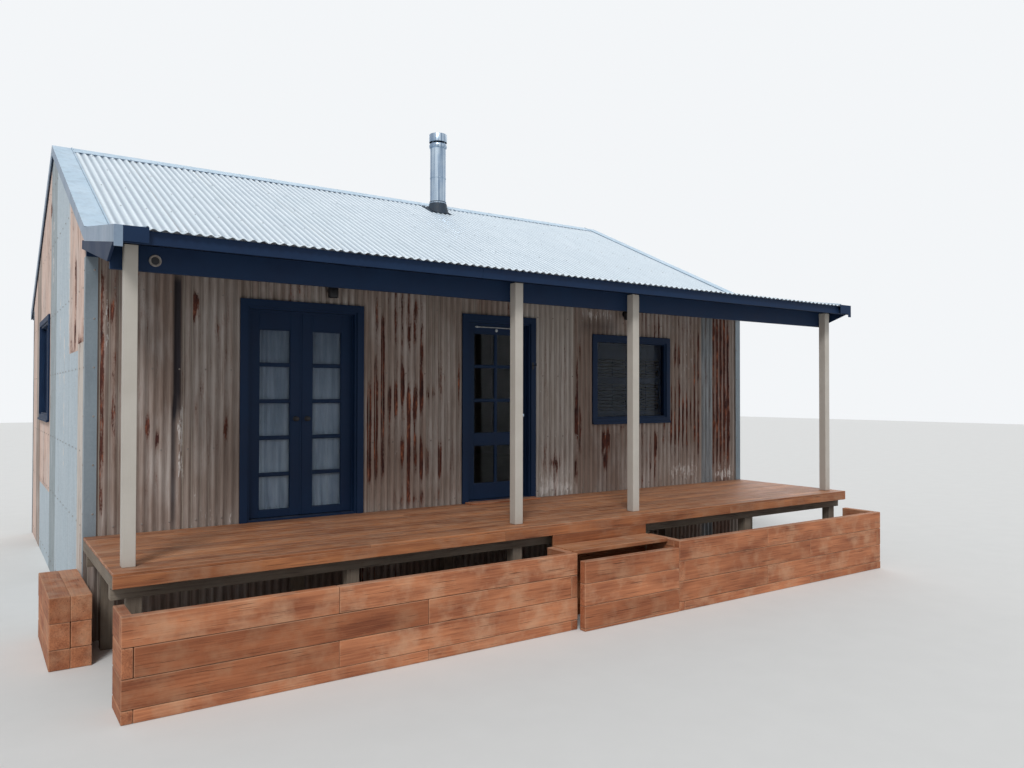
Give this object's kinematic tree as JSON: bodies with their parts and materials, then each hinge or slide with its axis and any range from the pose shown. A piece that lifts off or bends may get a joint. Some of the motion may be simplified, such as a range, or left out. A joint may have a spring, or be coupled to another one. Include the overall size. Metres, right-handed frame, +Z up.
{
  "type": "corrugated iron cabin with a verandah",
  "caption": "Gabled corrugated iron cabin with a full-length front verandah, timber deck and step, French doors, glazed entry door and a roof flue.",
  "frame": {"origin": "centre of the footprint at the lowest ground level", "axes": "+Z up, the verandah front faces -Y, the gable with the window is at -X"},
  "size_m": [8.772, 9.1, 6.08],
  "materials": {
    "wall_lining": "painted wall framing and lining",
    "old_iron": "weathered corrugated iron with rust streaks and worn paint",
    "new_iron": "bright zinc coated iron",
    "navy_paint": "dark blue painted timber, satin",
    "cream_paint": "cream painted timber posts, satin",
    "deck_timber": "oiled reddish brown hardwood",
    "sleeper_timber": "rough sawn hardwood sleepers",
    "stump_timber": "grey weathered hardwood stumps",
    "window_glass": "clear glass",
    "black_metal": "black door furniture",
    "stainless": "brushed stainless flue",
    "flue_boot": "dark rubber roof flashing"
  },
  "bodies": {
    "hut": {"front_base_wall": "wall_lining", "front_wall_left": "wall_lining", "front_wall_middle": "wall_lining", "front_wall_right": "wall_lining", "french_lintel": "wall_lining", "entry_lintel": "wall_lining", "rear_wall": "wall_lining", "left_gable_wall": "wall_lining", "right_gable_wall": "wall_lining", "front_cladding": "old_iron", "rear_cladding": "old_iron", "left_gable_cladding": "old_iron", "right_gable_cladding": "old_iron", "corner_flashings": "new_iron", "inner_floor": "deck_timber", "stumps": "stump_timber", "roof_panel_front": "wall_lining", "roof_panel_rear": "wall_lining", "roof_iron_front": "new_iron", "roof_iron_rear": "new_iron", "ridge_capping": "new_iron", "barge_cappings": "new_iron", "barge_boards": "navy_paint", "rear_fascia": "navy_paint", "verandah_iron": "new_iron", "verandah_rafters": "navy_paint", "verandah_ledger": "navy_paint", "verandah_lining": "navy_paint", "verandah_fascia": "navy_paint", "verandah_beam": "navy_paint", "verandah_end_boards": "navy_paint", "verandah_posts": "cream_paint", "deck": "deck_timber", "deck_joists": "stump_timber", "deck_bearers": "stump_timber", "deck_fascia": "deck_timber", "step": "deck_timber", "front_sleepers": "sleeper_timber", "side_step": "sleeper_timber", "planter_left": "sleeper_timber", "planter_right": "sleeper_timber", "french_frame": "navy_paint", "entry_frame": "navy_paint", "front_window": "navy_paint", "gable_window": "navy_paint", "window_panes": "window_glass", "flue_pipe": "stainless", "flue_cowl": "stainless", "flue_boot": "flue_boot", "wall_lights": "black_metal"},
    "french_door_left": {"french_leaf_left": "navy_paint", "french_glass_left": "window_glass", "french_knob_left": "black_metal"},
    "french_door_right": {"french_leaf_right": "navy_paint", "french_glass_right": "window_glass", "french_knob_right": "black_metal"},
    "entry_door": {"entry_leaf": "navy_paint", "entry_glass": "window_glass", "entry_handle": "black_metal"}
  },
  "joints": [
    {"name": "french_left_hinge", "type": "hinge", "parent": "hut", "child": "french_door_left", "pos_m": [-2.691, -2.2745, 0.9], "axis": [0, 0, 1], "range_deg": [0, 90]},
    {"name": "french_right_hinge", "type": "hinge", "parent": "hut", "child": "french_door_right", "pos_m": [-1.626, -2.2745, 0.9], "axis": [0, 0, -1], "range_deg": [0, 90]},
    {"name": "entry_hinge", "type": "hinge", "parent": "hut", "child": "entry_door", "pos_m": [-0.244, -2.2745, 0.9], "axis": [0, 0, 1], "range_deg": [0, 90]}
  ]
}
